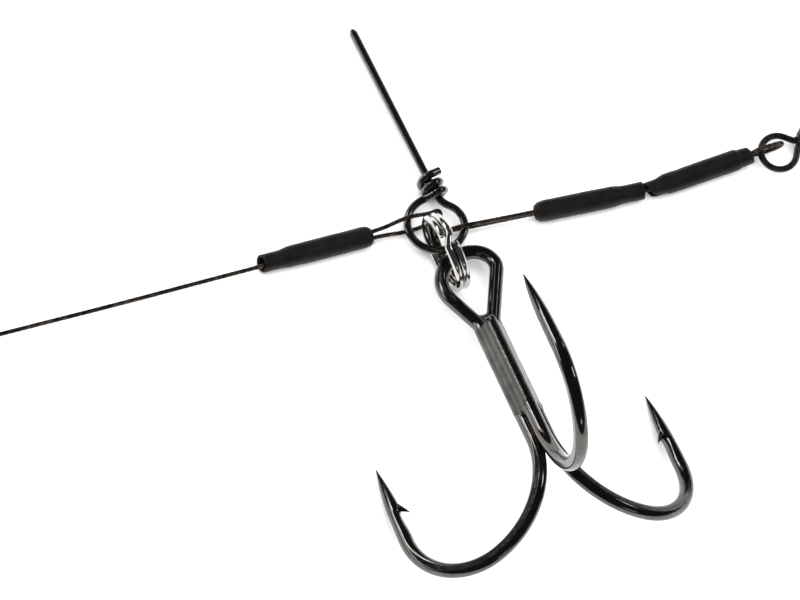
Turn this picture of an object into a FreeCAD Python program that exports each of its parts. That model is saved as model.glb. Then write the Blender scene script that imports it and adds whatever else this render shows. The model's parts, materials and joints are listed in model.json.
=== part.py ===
import FreeCAD, Part
import math
import os
import Sketcher

# A ready-made pike rig, in millimetres.  It lies on a flat surface at Z = 0:
#   +X runs along the wire leader towards the swivel,
#   +Y runs along the bait pin towards its point,
#   +Z points up.  The origin is below the middle of the rig, on the surface.
# A round eye in the bait pin is the hub.  The leader's loop, the link's loop and the split ring
# all hang in it, and the split ring carries the treble hook.

Vector = FreeCAD.Vector
Placement = FreeCAD.Placement
Rotation = FreeCAD.Rotation
X_AXIS = Vector(1, 0, 0)
Y_AXIS = Vector(0, 1, 0)
Z_AXIS = Vector(0, 0, 1)

doc = FreeCAD.newDocument("pike_rig")

# ---------------------------------------------------------------- driving dimensions

DIMENSIONS = {
    # treble hook
    "hook_wire": 1.25,
    "hook_gap": 0.02,
    "bend_radius": 7.84,
    "bend_angle": 81.5,
    "throat_radius": 5.86,
    "throat_angle": 99.0,
    "spear_length": 3.2,
    "point_length": 4.5,
    "point_tip": 0.06,
    "barb_base": 1.3,
    "barb_height": 0.6,
    "barb_back": 5.6,
    "barb_width": 0.5,
    "barb_tip_low": 0.04,
    "barb_tip_high": 0.12,
    "barb_edge_low": 0.35,
    "barb_edge_high": 0.65,
    "hook_eye_top": 20.43,
    "hook_eye_shift": 1.12,
    "hook_eye_right_radius": 1.9,
    "hook_eye_left_radius": 3.3,
    "hook_crotch_radius": 2.0,
    "hook_crotch_height": 12.24,
    "braze_bottom": 2.05,
    "braze_top": 12.2,
    "braze_radius": 1.02,
    "single_shank_drop": 0.35,
    "treble_incline": 19.0,
    "treble_x": 0.3,
    "treble_y": -22.81,
    "treble_z": 8.57,
    # split ring
    "ring_wire": 0.68,
    "ring_radius": 3.2,
    "ring_pitch": 0.66,
    "ring_yaw": 8.6,
    "ring_lean": 4.2,
    "ring_x": -0.83,
    "ring_y": -3.75,
    "ring_z": 3.58,
    # bait pin
    "pin_wire": 0.7,
    "pin_eye_radius": 2.5,
    "pin_eye_end": 98.0,
    "pin_cheek_radius": 2.05,
    "pin_cheek_start": -40.0,
    "pin_shaft_offset": 1.18,
    "pin_join_angle": 45.0,
    "pin_shaft": 16.77,
    "pin_point": 0.33,
    "pin_point_tip": 0.42,
    "pin_wraps": 2,
    "pin_wrap_start": 2.4,
    "pin_wrap_pitch": 0.87,
    "pin_first_slack": 0.14,
    "pin_last_slack": 0.1,
    "pin_tail_reach": 1.05,
    "pin_tail_rise": 0.15,
    "pin_tail_drop": 0.3,
    "pin_lead_in": 0.5,
    "pin_yaw": 6.7,
    "pin_pitch": 2.6,
    "pin_x": -0.23,
    "pin_y": -0.3,
    "pin_z": 1.34,
    # leader wire, its crimps and shrink sleeves
    "trace_wire": 0.38,
    "strand_offset": 0.2,
    "strand_end": 0.3,
    "loop_lead": 0.3,
    "link_lead": 0.1,
    "over_pin_gap": 0.14,
    "over_eye_gap": 0.09,
    "trace_sag": 0.15,
    "crimp_radius": 0.7,
    "crimp_length": 6.6,
    "sleeve_radius": 0.95,
    "sleeve_wall": 0.25,
    "sleeve_length": 9.9,
    "sleeve_neck": 1.7,
    "sleeve_ramp": 0.7,
    "sleeve_lip": 0.5,
    "wide_mouth": 0.83,
    "tight_mouth": 0.72,
    "leader_x": -15.8,
    "leader_y": 0.32,
    "end_gap": 25.8,
    "middle_x": 18.41,
    "middle_y": -1.96,
    "middle_yaw": -3.1,
    "right_x": 18.86,
    "right_y": -2.08,
    "right_yaw": 4.6,
    # swivel
    "swivel_wire": 0.58,
    "swivel_eye": 1.6,
    "swivel_leg_angle": 50.0,
    "swivel_leg_radius": 0.5,
    "swivel_leg_gap": 0.01,
    "swivel_stem_overlap": 0.05,
    "swivel_head_overlap": 0.1,
    "swivel_stem": 0.6,
    "swivel_head": 0.85,
    "swivel_head_length": 0.5,
    "swivel_clearance": 0.05,
    "barrel_radius": 1.15,
    "barrel_length": 4.4,
    "barrel_wall": 0.55,
    "barrel_gap": 0.4,
    "barrel_end": 0.85,
    "barrel_shoulder": 0.45,
    "swivel_x": 31.28,
    "swivel_y": -1.8,
    "swivel_yaw": 11.8,
    # where the hub stands from the origin
    "hub_x": -13.256,
    "hub_y": 6.4,
}

sheet = doc.addObject("Spreadsheet::Sheet", "Dimensions")
for row, (alias, value) in enumerate(DIMENSIONS.items(), start=1):
    sheet.set(f"A{row}", alias)
    sheet.set(f"B{row}", str(value))
    sheet.setAlias(f"B{row}", alias)
doc.recompute()


def dim(alias):
    """The value that the sheet holds under an alias."""
    return float(sheet.get(alias))


def heading(degrees):
    """A unit vector in the XY plane, turned from +X."""
    angle = math.radians(degrees)
    return Vector(math.cos(angle), math.sin(angle), 0)


HUB = Placement(Vector(dim("hub_x"), dim("hub_y"), 0), Rotation())


# ---------------------------------------------------------------- tools for wires


# How much of a run beside a bend the bend's arc may take up.
WIDE_BEND = 0.9
LOOP_BEND = 0.7


class Route:
    """The middle line of a bent wire: straight runs and tangent arcs, one after the other."""

    def __init__(self, start, direction):
        self.point = Vector(start)
        self.direction = Vector(direction).normalize()
        self.edges = []

    def run(self, length):
        end = self.point + self.direction * length
        self.edges.append(Part.LineSegment(self.point, end).toShape())
        self.point = end
        return self

    def turn(self, radius, degrees, axis):
        """An arc that turns the wire about an axis, right-handed, or the other way if negative."""
        axis = Vector(axis).normalize() * math.copysign(1, degrees)
        degrees = abs(degrees)
        spoke = self.direction.cross(axis) * radius
        centre = self.point - spoke
        middle = centre + Rotation(axis, degrees / 2).multVec(spoke)
        whole = Rotation(axis, degrees)
        end = centre + whole.multVec(spoke)
        self.edges.append(Part.Arc(self.point, middle, end).toShape())
        self.point = end
        self.direction = whole.multVec(self.direction)
        return self

    def through(self, corners, fill):
        """Straight runs from corner to corner, ending at the last one.

        Each bend's arc takes up to half of that share of the shorter run beside it."""
        points = [self.point] + [Vector(corner) for corner in corners]
        for before, corner, after in zip(points, points[1:], points[2:]):
            incoming = (corner - before).normalize()
            outgoing = (after - corner).normalize()
            half_turn = incoming.getAngle(outgoing) / 2
            shorter = min((corner - before).Length, (after - corner).Length)
            setback = fill * shorter / 2
            self.direction = incoming
            self.run((corner - self.point).Length - setback)
            radius = setback / math.tan(half_turn)
            self.turn(radius, math.degrees(2 * half_turn), incoming.cross(outgoing))
        self.direction = (points[-1] - self.point).normalize()
        return self.run((points[-1] - self.point).Length)

    def length(self):
        return sum(edge.Length for edge in self.edges)


def swept_wire(label, start, direction, edges, diameter_alias):
    """A round wire along a route that starts at a point in a direction."""
    path = doc.addObject("Part::Feature", f"{label}_path")
    path.Shape = Part.Wire(edges)
    section = doc.addObject("Part::Circle", f"{label}_section")
    section.setExpression("Radius", f"Dimensions.{diameter_alias} / 2")
    section.Placement = Placement(start, Rotation(Z_AXIS, direction))
    sweep = doc.addObject("Part::Sweep", f"{label}_wire")
    sweep.Sections = [section]
    sweep.Spine = (path, [f"Edge{index + 1}" for index in range(len(edges))])
    sweep.Solid = True
    return sweep


def route_wire(label, start, route, diameter_alias):
    """The round wire along a finished route."""
    first = route.edges[0]
    direction = first.tangentAt(first.FirstParameter)
    return swept_wire(label, start, direction, route.edges, diameter_alias)


def fused(label, pieces):
    """One piece of metal made from several shapes."""
    fusion = doc.addObject("Part::MultiFuse", label)
    fusion.Shapes = pieces
    return fusion


# ---------------------------------------------------------------- tools for bodies


def origin_plane(body, role):
    return next(plane for plane in body.Origin.OriginFeatures if plane.Role == role)


def sketch_on(body, role, name):
    """An empty sketch on one of the body's own origin planes."""
    sketch = body.newObject("Sketcher::SketchObject", name)
    sketch.AttachmentSupport = [(origin_plane(body, role), "")]
    sketch.MapMode = "FlatFace"
    return sketch


def held_point(sketch, edge, end, name, across, along):
    """Hold an edge's end at two formulas, measured from the sketch's origin."""
    for kind, axis, formula in (("DistanceX", -2, across), ("DistanceY", -1, along)):
        if formula == "0":
            sketch.addConstraint(Sketcher.Constraint("PointOnObject", edge, end, axis))
            continue
        now = sketch.evalExpression(formula)
        held = sketch.addConstraint(Sketcher.Constraint(kind, -1, 1, edge, end, float(now)))
        constraint_name = f"{name}_{kind[-1].lower()}"
        sketch.renameConstraint(held, constraint_name)
        sketch.setExpression(f"Constraints.{constraint_name}", formula)


def turned_body(label, outline):
    """A piece turned on a lathe about its own Z axis.

    The outline is a closed list of corners, each a formula for its radius and for its height."""
    body = doc.addObject("PartDesign::Body", label)
    sketch = sketch_on(body, "XZ_Plane", f"{label}_outline")
    places = [Vector(*(float(sketch.evalExpression(f)) for f in corner), 0) for corner in outline]
    for start, end in zip(places, places[1:] + places[:1]):
        sketch.addGeometry(Part.LineSegment(start, end), False)
    for edge in range(len(places)):
        following = (edge + 1) % len(places)
        sketch.addConstraint(Sketcher.Constraint("Coincident", edge, 2, following, 1))
    for edge, (across, along) in enumerate(outline):
        held_point(sketch, edge, 1, f"corner{edge}", across, along)
    turning = body.newObject("PartDesign::Revolution", f"{label}_turning")
    turning.Profile = sketch
    turning.ReferenceAxis = (sketch, ["V_Axis"])
    turning.Angle = 360
    return body


# ---------------------------------------------------------------- treble hook

# In the treble's own frame the shank bundle runs up +Z towards the eye, and Z = 0 is where the
# bends start.  The double hook is one wire: hook, shank, eye, shank, hook.
BUNDLE_RADIUS = (dim("hook_wire") + dim("hook_gap")) / math.sqrt(3)
SINGLE_HOOK_DIRECTION = -90
RIGHT_HOOK_DIRECTION = 30
LEFT_HOOK_DIRECTION = 150
TREBLE = HUB * Placement(
    Vector(dim("treble_x"), dim("treble_y"), dim("treble_z")),
    Rotation(X_AXIS, -90 - dim("treble_incline")),
)


def bend_hook(route, outward):
    """Carry a wire that comes down a shank through the bend and up the spear."""
    axis = outward.cross(Z_AXIS)
    route.turn(dim("bend_radius"), dim("bend_angle"), axis)
    route.turn(dim("throat_radius"), dim("throat_angle"), axis)
    return route.run(dim("spear_length"))


def hook_point(label, route, outward):
    """The tapered point and the barb that end a hook, where its spear ends."""
    point = doc.addObject("Part::Cone", f"{label}_point")
    point.setExpression("Radius1", "Dimensions.hook_wire / 2")
    point.setExpression("Radius2", "Dimensions.point_tip / 2")
    point.setExpression("Height", "Dimensions.point_length")
    point.Placement = Placement(route.point, Rotation(Z_AXIS, route.direction))

    sideways = outward.cross(route.direction).normalize()
    inward = sideways.cross(route.direction)
    barb = doc.addObject("Part::Wedge", f"{label}_barb")
    barb.Xmin = 0
    barb.setExpression("Xmax", "Dimensions.barb_base")
    barb.setExpression("X2min", "Dimensions.barb_base * Dimensions.barb_tip_low")
    barb.setExpression("X2max", "Dimensions.barb_base * Dimensions.barb_tip_high")
    barb.Ymin = 0
    barb.setExpression("Ymax", "Dimensions.barb_height + Dimensions.hook_wire / 2")
    barb.Zmin = 0
    barb.setExpression("Zmax", "Dimensions.barb_width")
    barb.setExpression("Z2min", "Dimensions.barb_width * Dimensions.barb_edge_low")
    barb.setExpression("Z2max", "Dimensions.barb_width * Dimensions.barb_edge_high")
    heel = route.point + route.direction * (dim("point_length") - dim("barb_back"))
    across = route.direction.cross(inward)
    corner = heel - across * (dim("barb_width") / 2)
    barb.Placement = Placement(corner, Rotation(route.direction, inward, across, "XYZ"))
    return [point, barb]


def make_single_hook():
    outward = heading(SINGLE_HOOK_DIRECTION)
    start = outward * BUNDLE_RADIUS + Z_AXIS * (dim("braze_top") - dim("single_shank_drop"))
    route = Route(start, -Z_AXIS).run(start.z)
    bend_hook(route, outward)
    wire = route_wire("single_hook", start, route, "hook_wire")
    hook = fused("single_hook", [wire] + hook_point("single_hook", route, outward))
    hook.Placement = TREBLE
    return hook


def half_double_hook(eye_shift, eye):
    """From the eye's top round to the right, down the shank and through the hook.

    The eye is pear-shaped, with a wide arc on one side and a tight one on the other.
    Its leg is the straight line that touches both the eye's arc and the crotch's arc."""
    outward = heading(RIGHT_HOOK_DIRECTION)
    shank = outward * BUNDLE_RADIUS
    crotch = dim("hook_crotch_radius")
    eye_centre = Vector(eye_shift, shank.y, dim("hook_eye_top") - eye)
    crotch_centre = Vector(shank.x + crotch, shank.y, dim("hook_crotch_height"))
    apart = eye_centre - crotch_centre
    leg_angle = math.atan2(apart.z, -apart.x) - math.acos((eye + crotch) / apart.Length)
    leg_length = math.sqrt(apart.Length**2 - (eye + crotch) ** 2)

    route = Route(eye_centre + Z_AXIS * eye, X_AXIS)
    route.turn(eye, 90 + math.degrees(leg_angle), Y_AXIS)
    route.run(leg_length)
    route.turn(crotch, -math.degrees(leg_angle), Y_AXIS)
    route.run(route.point.z)
    return bend_hook(route, outward), outward


def make_double_hook():
    """Two half wires, each drawn as a right half.  The left one is then mirrored."""
    shift = dim("hook_eye_shift")
    right, outward = half_double_hook(shift, dim("hook_eye_right_radius"))
    left, _ = half_double_hook(-shift, dim("hook_eye_left_radius"))
    left.edges = [edge.mirror(Vector(), X_AXIS) for edge in left.edges]
    left.point.x *= -1
    left.direction.x *= -1
    left_outward = Vector(-outward.x, outward.y, 0)

    top = Vector(shift, outward.y * BUNDLE_RADIUS, dim("hook_eye_top"))
    pieces = [
        swept_wire("right_hook", top, X_AXIS, right.edges, "hook_wire"),
        swept_wire("left_hook", top, -X_AXIS, left.edges, "hook_wire"),
    ]
    pieces += hook_point("right_hook", right, outward)
    pieces += hook_point("left_hook", left, left_outward)
    hook = fused("double_hook", pieces)
    hook.Placement = TREBLE
    return hook


def make_shank_braze():
    """Solder that fills the grooves between the three shanks."""
    filler = doc.addObject("Part::Cylinder", "braze_filler")
    filler.setExpression("Radius", "Dimensions.braze_radius")
    filler.setExpression("Height", "Dimensions.braze_top - Dimensions.braze_bottom")
    filler.Placement = Placement(Z_AXIS * dim("braze_bottom"), Rotation())
    shanks = []
    directions = {
        "right": RIGHT_HOOK_DIRECTION,
        "left": LEFT_HOOK_DIRECTION,
        "single": SINGLE_HOOK_DIRECTION,
    }
    for name, direction in directions.items():
        shank = doc.addObject("Part::Cylinder", f"{name}_shank_space")
        shank.setExpression("Radius", "Dimensions.hook_wire / 2")
        shank.setExpression("Height", "Dimensions.hook_eye_top")
        shank.Placement = Placement(heading(direction) * BUNDLE_RADIUS, Rotation())
        shanks.append(shank)
    spaces = fused("shank_spaces", shanks)
    braze = doc.addObject("Part::Cut", "shank_braze")
    braze.Base = filler
    braze.Tool = spaces
    braze.Placement = TREBLE
    return braze


single_hook = make_single_hook()
double_hook = make_double_hook()
shank_braze = make_shank_braze()


# ---------------------------------------------------------------- split ring


def make_split_ring():
    """Two coils that lie against each other, turned about the ring's own axis."""
    coils = []
    for name, side in (("first", 1), ("second", -1)):
        coil = doc.addObject("Part::Torus", f"{name}_coil")
        coil.setExpression("Radius1", "Dimensions.ring_radius")
        coil.setExpression("Radius2", "Dimensions.ring_wire / 2")
        coil.Placement = Placement(Z_AXIS * (side * dim("ring_pitch") / 2), Rotation())
        coils.append(coil)
    ring = fused("split_ring", coils)
    upright = Rotation(Y_AXIS, 90 - dim("ring_lean"))
    centre = Vector(dim("ring_x"), dim("ring_y"), dim("ring_z"))
    ring.Placement = HUB * Placement(centre, Rotation(Z_AXIS, dim("ring_yaw")) * upright)
    return ring


split_ring = make_split_ring()


# ---------------------------------------------------------------- bait pin


def wrap_corners():
    """Corners of the wire's coil round its own shaft, from on top of the shaft and up +Y.

    The coil tightens as it climbs, and its cut end runs straight on past the shaft."""
    corners_per_turn = 8
    last = round(dim("pin_wraps") * corners_per_turn)
    corners = []
    for step in range(last + 1):
        angle = 2 * math.pi * step / corners_per_turn
        climbed = step / last
        slack = dim("pin_first_slack") * (1 - climbed) + dim("pin_last_slack") * climbed
        radius = (dim("pin_wire") + slack) / math.cos(math.pi / corners_per_turn)
        across = dim("pin_shaft_offset") + radius * math.sin(angle)
        along = dim("pin_wrap_start") + dim("pin_wrap_pitch") * step / corners_per_turn
        corners.append(Vector(across, along, radius * math.cos(angle)))
    tail = corners[-1] + Vector(dim("pin_tail_reach"), dim("pin_tail_rise"), -dim("pin_tail_drop"))
    return corners + [tail]


def make_bait_pin():
    """One spring wire: point, shaft, eye, and a coil back round the shaft.

    The eye is round but for one cheek, a tighter arc between the shaft's neck and the circle.
    Angles round the eye are counted from +X."""
    eye = dim("pin_eye_radius")
    cheek = dim("pin_cheek_radius")
    cheek_start = dim("pin_cheek_start")
    join = math.radians(dim("pin_join_angle"))
    cheek_centre = heading(cheek_start) * (eye - cheek)
    sideways = cheek_centre.x + cheek * math.cos(join) - dim("pin_shaft_offset")
    neck_radius = sideways / (1 - math.cos(join))
    neck_height = cheek_centre.y + (cheek + neck_radius) * math.sin(join)
    start = Vector(dim("pin_shaft_offset"), neck_height + dim("pin_shaft"), 0)
    route = Route(start, -Y_AXIS).run(dim("pin_shaft"))
    route.turn(neck_radius, dim("pin_join_angle"), Z_AXIS)
    route.turn(cheek, cheek_start - dim("pin_join_angle"), Z_AXIS)
    route.turn(eye, dim("pin_eye_end") - 360 - cheek_start, Z_AXIS)
    lead_in = route.point + route.direction * dim("pin_lead_in")
    route.through([lead_in] + wrap_corners(), WIDE_BEND)
    wire = route_wire("bait_pin", start, route, "pin_wire")
    point = doc.addObject("Part::Cone", "bait_pin_point")
    point.setExpression("Radius1", "Dimensions.pin_wire / 2")
    point.setExpression("Radius2", "Dimensions.pin_point_tip / 2")
    point.setExpression("Height", "Dimensions.pin_point")
    point.Placement = Placement(start, Rotation(Z_AXIS, Y_AXIS))
    pin = fused("bait_pin", [wire, point])
    centre = Vector(dim("pin_x"), dim("pin_y"), dim("pin_z"))
    turned = Rotation(Z_AXIS, dim("pin_yaw")) * Rotation(X_AXIS, -dim("pin_pitch"))
    pin.Placement = HUB * Placement(centre, turned)
    return pin


bait_pin = make_bait_pin()


# ---------------------------------------------------------------- crimps and shrink sleeves


def make_crimp(label, placement, strand_direction):
    """A tube squeezed round two strands, from Z = 0 up.  The strands lie side by side in it."""
    body = doc.addObject("PartDesign::Body", label)
    sketch = sketch_on(body, "XY_Plane", f"{label}_section")
    offset = dim("strand_offset")
    circles = (
        (0, "Dimensions.crimp_radius", "outside"),
        (offset, "Dimensions.trace_wire / 2", "first_strand"),
        (-offset, "Dimensions.trace_wire / 2", "second_strand"),
    )
    for index, (across, radius, name) in enumerate(circles):
        size = float(sketch.evalExpression(radius))
        sketch.addGeometry(Part.Circle(Vector(across, 0, 0), Z_AXIS, size), False)
        if across:
            sign = "-" if across < 0 else ""
            held_point(sketch, index, 3, name, f"{sign}Dimensions.strand_offset", "0")
        else:
            sketch.addConstraint(Sketcher.Constraint("Coincident", index, 3, -1, 1))
        held = sketch.addConstraint(Sketcher.Constraint("Radius", index, size))
        sketch.renameConstraint(held, f"{name}_radius")
        sketch.setExpression(f"Constraints.{name}_radius", radius)
    pad = body.newObject("PartDesign::Pad", f"{label}_pad")
    pad.Profile = sketch
    pad.setExpression("Length", "Dimensions.crimp_length")
    body.Placement = placement * Placement(Vector(), Rotation(Z_AXIS, strand_direction))
    return body


def make_sleeve(label, placement):
    """A heat-shrink sleeve from Z = 0 up: a narrow neck, a ramp, and the full tube over its crimp."""
    wall = "Dimensions.sleeve_wall"
    top = "Dimensions.sleeve_length"
    ramp_top = "(Dimensions.sleeve_neck + Dimensions.sleeve_ramp)"
    outer = [
        ("Dimensions.wide_mouth", "0"),
        ("Dimensions.wide_mouth", "Dimensions.sleeve_neck"),
        ("Dimensions.sleeve_radius", ramp_top),
        ("Dimensions.sleeve_radius", f"{top} - Dimensions.sleeve_lip"),
        ("Dimensions.tight_mouth", top),
    ]
    inner = [
        (f"Dimensions.tight_mouth - {wall}", top),
        (f"Dimensions.sleeve_radius - {wall}", f"{top} - Dimensions.sleeve_lip"),
        (f"Dimensions.sleeve_radius - {wall}", ramp_top),
        (f"Dimensions.wide_mouth - {wall}", "Dimensions.sleeve_neck"),
        (f"Dimensions.wide_mouth - {wall}", "0"),
    ]
    body = turned_body(label, outer + inner)
    body.Placement = placement
    return body


def sleeve_line(start, yaw):
    """A placement whose Z axis lies flat on a sleeve's line, with X level across it."""
    along = heading(yaw)
    across = Z_AXIS.cross(along)
    return Placement(start, Rotation(across, Z_AXIS, along, "XYZ"))


LEVEL_STRANDS = 0
STACKED_STRANDS = 90
WIRE_HEIGHT = dim("sleeve_radius")
STRAND = dim("strand_offset")
CRIMP_START = dim("sleeve_neck") + dim("sleeve_ramp")
STRAND_END = CRIMP_START + dim("strand_end")


def sleeved_crimp(side, line, strand_direction):
    """The crimp and its sleeve on one sleeve's line."""
    in_crimp = Placement(Z_AXIS * CRIMP_START, Rotation())
    crimp = make_crimp(f"crimp_{side}", HUB * line * in_crimp, strand_direction)
    sleeve = make_sleeve(f"sleeve_{side}", HUB * line)
    return [crimp, sleeve]


def on_line(line, distance, across=0.0, rise=0.0):
    """A point beside a sleeve's line: how far along, how far to the side and how far up."""
    return line.multVec(Vector(across, rise, distance))


# ---------------------------------------------------------------- leader: loop, trace, end loop

LEADER_LINE = sleeve_line(Vector(dim("leader_x"), dim("leader_y"), WIRE_HEIGHT), 0)
END_LINE = sleeve_line(
    Vector(dim("leader_x") - dim("end_gap"), dim("leader_y"), WIRE_HEIGHT), 180
)
OVER_PIN = dim("pin_z") + (dim("pin_wire") + dim("trace_wire")) / 2 + dim("over_pin_gap")
UNDER_PIN = 2 * dim("pin_z") - OVER_PIN


def wire_piece(label, corners, fill=LOOP_BEND):
    """A round piece of leader wire along a list of corners, from the first to the last."""
    start = corners[0]
    route = Route(start, corners[1] - start).through(corners[1:], fill)
    wire = route_wire(label, start, route, "trace_wire")
    wire.Label = label
    wire.Placement = HUB
    print(label, "length", round(route.length(), 2))
    return wire


def make_left_loop():
    """The leader's loop round the left side of the pin's eye, from its crimp and back."""
    past_lip = dim("sleeve_length") + dim("loop_lead")
    corners = [
        on_line(LEADER_LINE, CRIMP_START, -STRAND),
        on_line(LEADER_LINE, past_lip, -STRAND),
        Vector(-2.62, -0.05, UNDER_PIN),
        Vector(-0.7, 0.1, 0.9),
        Vector(0.36, 0.22, 1.0),
        Vector(0.4, 0.82, 1.48),
        Vector(-0.6, 0.62, 1.7),
        Vector(-2.46, 0.66, OVER_PIN),
        on_line(LEADER_LINE, past_lip, STRAND),
        on_line(LEADER_LINE, STRAND_END, STRAND),
    ]
    return wire_piece("left_loop", corners)


def make_trace_wire():
    """The leader's long stretch, which sags a little between its two crimps."""
    start = on_line(LEADER_LINE, CRIMP_START, -STRAND)
    end = on_line(END_LINE, CRIMP_START, STRAND)
    middle = (start + end) / 2 - Z_AXIS * dim("trace_sag")
    return wire_piece("trace_wire", [start, middle, end], WIDE_BEND)


def make_end_loop():
    """The loop that ends the leader, lying nearly flat."""
    past_lip = dim("sleeve_length") + dim("loop_lead")
    corners = [
        on_line(END_LINE, CRIMP_START, STRAND),
        on_line(END_LINE, past_lip, STRAND),
        on_line(END_LINE, past_lip + 2.2, 1.3, -0.35),
        on_line(END_LINE, past_lip + 4.4, 1.2, -0.6),
        on_line(END_LINE, past_lip + 5.1, -0.1, -0.65),
        on_line(END_LINE, past_lip + 4.2, -1.3, -0.6),
        on_line(END_LINE, past_lip + 2.0, -1.3, -0.35),
        on_line(END_LINE, past_lip, -STRAND),
        on_line(END_LINE, STRAND_END, -STRAND),
    ]
    return wire_piece("end_loop", corners)


leader = sleeved_crimp("left", LEADER_LINE, LEVEL_STRANDS)
leader += sleeved_crimp("end", END_LINE, LEVEL_STRANDS)
leader += [make_left_loop(), make_trace_wire(), make_end_loop()]


# ---------------------------------------------------------------- link to the swivel

MIDDLE_LINE = sleeve_line(
    Vector(dim("middle_x"), dim("middle_y"), WIRE_HEIGHT), 180 + dim("middle_yaw")
)
RIGHT_LINE = sleeve_line(
    Vector(dim("right_x"), dim("right_y"), WIRE_HEIGHT), dim("right_yaw")
)
OVER_EYE = dim("barrel_radius") + (dim("swivel_wire") + dim("trace_wire")) / 2 + dim("over_eye_gap")
UNDER_EYE = 2 * dim("barrel_radius") - OVER_EYE


def make_link_wire():
    """One wire: a loop in the pin's eye, both crimps, and a loop in the swivel's eye."""
    past_lip = dim("sleeve_length") + dim("link_lead")
    over_pin = Vector(2.12, -1.34, OVER_PIN)
    under_pin = Vector(2.12, -1.04, UNDER_PIN)
    over_eye = Vector(29.5, -1.28, OVER_EYE)
    under_eye = Vector(29.5, -1.28, UNDER_EYE)
    corners = [
        on_line(MIDDLE_LINE, STRAND_END, 0, STRAND),
        on_line(MIDDLE_LINE, past_lip, 0, STRAND),
        over_pin,
        Vector(0.6, -1.26, 1.7),
        Vector(0.6, -1.0, 0.86),
        under_pin,
        on_line(MIDDLE_LINE, past_lip, 0, -STRAND),
        on_line(MIDDLE_LINE, 1.0, 0, -STRAND),
        on_line(RIGHT_LINE, 1.0, 0, -STRAND),
        on_line(RIGHT_LINE, past_lip, 0, -STRAND),
        under_eye,
        Vector(31.78, -1.15, 0.74),
        Vector(31.78, -1.13, 1.56),
        over_eye,
        on_line(RIGHT_LINE, past_lip, 0, STRAND),
        on_line(RIGHT_LINE, STRAND_END, 0, STRAND),
    ]
    return wire_piece("link_wire", corners)


link = sleeved_crimp("middle", MIDDLE_LINE, STACKED_STRANDS)
link += sleeved_crimp("right", RIGHT_LINE, STACKED_STRANDS)
link += [make_link_wire()]


# ---------------------------------------------------------------- swivel

# In the swivel's own frame +X runs from the front eye's centre through the barrel.
SWIVEL = HUB * Placement(
    Vector(dim("swivel_x"), dim("swivel_y"), dim("barrel_radius")),
    Rotation(Z_AXIS, dim("swivel_yaw")),
)
ALONG_X = Rotation(Z_AXIS, X_AXIS)
LEG_OFFSET = dim("swivel_wire") / 2 + dim("swivel_leg_gap")


def swivel_eye_route():
    """A keyhole: two legs side by side that open into a round eye about the origin."""
    angle = dim("swivel_leg_angle")
    lean = math.radians(angle)
    eye = dim("swivel_eye")
    bend = dim("swivel_leg_radius")
    leg_rise = eye * math.cos(lean) - bend * (1 - math.cos(lean)) - LEG_OFFSET
    leg = leg_rise / math.sin(lean)
    start_x = (eye + bend) * math.sin(lean) + leg * math.cos(lean)
    start = Vector(start_x, LEG_OFFSET, 0)
    route = Route(start, -X_AXIS)
    route.turn(bend, -angle, Z_AXIS).run(leg)
    route.turn(eye, 180 + 2 * angle, Z_AXIS)
    route.run(leg).turn(bend, -angle, Z_AXIS)
    return start, route


def make_swivel_eye(label, placement):
    """A wire eye whose stem ends in a round head, held inside the barrel."""
    start, route = swivel_eye_route()
    wire = route_wire(label, start, route, "swivel_wire")
    stem = doc.addObject("Part::Cylinder", f"{label}_stem")
    stem.setExpression("Radius", "Dimensions.swivel_stem")
    reach = "Dimensions.swivel_stem_overlap + Dimensions.swivel_head_overlap"
    stem.setExpression("Height", f"Dimensions.barrel_gap + Dimensions.barrel_wall + {reach}")
    stem_start = start.x - dim("swivel_stem_overlap")
    stem.Placement = Placement(Vector(stem_start, 0, 0), ALONG_X)
    head = doc.addObject("Part::Cylinder", f"{label}_head")
    head.setExpression("Radius", "Dimensions.swivel_head")
    head.setExpression("Height", "Dimensions.swivel_head_length")
    head_start = start.x + dim("barrel_gap") + dim("barrel_wall") + dim("swivel_clearance")
    head.Placement = Placement(Vector(head_start, 0, 0), ALONG_X)
    eye = fused(label, [wire, stem, head])
    eye.Placement = placement
    return eye, start.x


def make_barrel(barrel_start):
    """A hollow barrel whose two end walls hold the eyes' heads in."""
    hole = "(Dimensions.swivel_stem + Dimensions.swivel_clearance)"
    cavity = "(Dimensions.swivel_head + Dimensions.swivel_clearance)"
    length = "Dimensions.barrel_length"
    wall = "Dimensions.barrel_wall"
    shoulder = "Dimensions.barrel_shoulder"
    outline = [
        (hole, "0"),
        ("Dimensions.barrel_end", "0"),
        ("Dimensions.barrel_radius", shoulder),
        ("Dimensions.barrel_radius", f"{length} - {shoulder}"),
        ("Dimensions.barrel_end", length),
        (hole, length),
        (hole, f"{length} - {wall}"),
        (cavity, f"{length} - {wall}"),
        (cavity, wall),
        (hole, wall),
    ]
    barrel = turned_body("swivel_barrel", outline)
    barrel.Placement = SWIVEL * Placement(Vector(barrel_start, 0, 0), ALONG_X)
    return barrel


front_eye, neck_x = make_swivel_eye("swivel_front_eye", SWIVEL)
barrel_start = neck_x + dim("barrel_gap")
rear_centre = 2 * barrel_start + dim("barrel_length")
facing_back = Placement(Vector(rear_centre, 0, 0), Rotation(Z_AXIS, 180))
rear_eye, _ = make_swivel_eye("swivel_rear_eye", SWIVEL * facing_back)
swivel = [front_eye, make_barrel(barrel_start), rear_eye]


# ---------------------------------------------------------------- checks and files

doc.recompute()

nodes = [double_hook, single_hook, shank_braze, split_ring, bait_pin] + leader + link + swivel

for piece in doc.Objects:
    if "Invalid" in piece.State or "Error" in piece.State:
        raise RuntimeError(f"{piece.Name} failed: {piece.State}")

os.makedirs("parts", exist_ok=True)
for node in nodes:
    shape = node.Shape
    if shape.isNull() or not shape.isValid():
        raise RuntimeError(f"{node.Label} has no valid shape")
    shape.exportStep(f"parts/{node.Label}.step")
    print(f"{node.Label:18} solids {len(shape.Solids)}  volume {shape.Volume:8.3f}")
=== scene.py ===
import json
import math

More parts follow.
